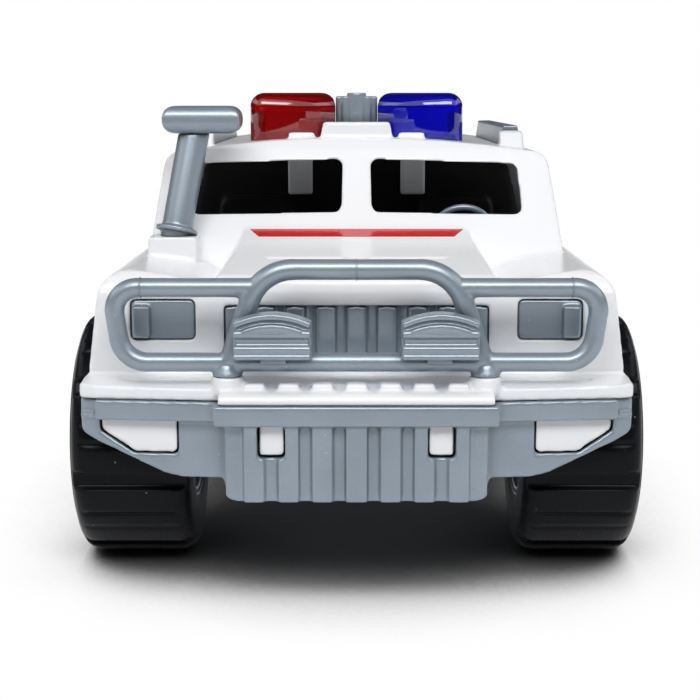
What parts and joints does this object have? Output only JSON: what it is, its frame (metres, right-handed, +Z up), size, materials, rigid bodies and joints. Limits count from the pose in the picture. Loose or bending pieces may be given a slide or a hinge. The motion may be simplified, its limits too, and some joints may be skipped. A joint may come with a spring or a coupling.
{
  "type": "toy ambulance",
  "caption": "Off-road toy ambulance with a hollow white body on a silver chassis, bull bar, light bar, snorkel, roof rails and big wheels that turn on fixed axles.",
  "frame": {"origin": "on the floor under the middle of the car", "axes": "+Z up, front towards -Y, +X towards the car's left side"},
  "size_m": [0.231, 0.38, 0.195],
  "materials": {
    "white_plastic": "smooth glossy moulded plastic",
    "silver_plastic": "satin silver-grey moulded plastic",
    "black_plastic": "plain black moulded plastic",
    "tyre_plastic": "glossy black blow-moulded plastic",
    "red_lens": "clear red moulded plastic",
    "blue_lens": "clear blue moulded plastic",
    "red_film": "printed sticker film",
    "steel": "plain steel rod"
  },
  "bodies": {
    "body": {"body_shell": "white_plastic", "chassis": "silver_plastic", "grille_panel": "silver_plastic", "headlamp_left": "silver_plastic", "headlamp_right": "silver_plastic", "bull_bar": "silver_plastic", "fog_lamp_left": "silver_plastic", "fog_lamp_right": "silver_plastic", "snorkel_pipe": "silver_plastic", "snorkel_head": "silver_plastic", "siren_block": "silver_plastic", "beacon_red": "red_lens", "beacon_blue": "blue_lens", "roof_rail_left": "silver_plastic", "roof_rail_right": "silver_plastic", "interior_tub": "black_plastic", "front_axle": "steel", "rear_axle": "steel", "axle_retainers": "steel", "hood_decal": "red_film", "side_stripe_left": "red_film", "side_stripe_right": "red_film"},
    "steering": {"steering_wheel": "silver_plastic"},
    "wheel_front_left": {"tyre_front_left": "tyre_plastic", "rim_front_left": "silver_plastic", "hub_cap_front_left": "silver_plastic"},
    "wheel_front_right": {"tyre_front_right": "tyre_plastic", "rim_front_right": "silver_plastic", "hub_cap_front_right": "silver_plastic"},
    "wheel_rear_left": {"tyre_rear_left": "tyre_plastic", "rim_rear_left": "silver_plastic", "hub_cap_rear_left": "silver_plastic"},
    "wheel_rear_right": {"tyre_rear_right": "tyre_plastic", "rim_rear_right": "silver_plastic", "hub_cap_rear_right": "silver_plastic"}
  },
  "joints": [
    {"name": "wheel_front_left_spin", "type": "hinge", "parent": "body", "child": "wheel_front_left", "pos_m": [0.0915, -0.112, 0.051], "axis": [1, 0, 0], "continuous": true},
    {"name": "wheel_front_right_spin", "type": "hinge", "parent": "body", "child": "wheel_front_right", "pos_m": [-0.0915, -0.112, 0.051], "axis": [1, 0, 0], "continuous": true},
    {"name": "wheel_rear_left_spin", "type": "hinge", "parent": "body", "child": "wheel_rear_left", "pos_m": [0.0915, 0.112, 0.051], "axis": [1, 0, 0], "continuous": true},
    {"name": "wheel_rear_right_spin", "type": "hinge", "parent": "body", "child": "wheel_rear_right", "pos_m": [-0.0915, 0.112, 0.051], "axis": [1, 0, 0], "continuous": true},
    {"name": "steering_wheel_turn", "type": "hinge", "parent": "body", "child": "steering", "pos_m": [0.04965, -0.042, 0.131], "axis": [0, 0.866, 0.5], "continuous": true}
  ]
}
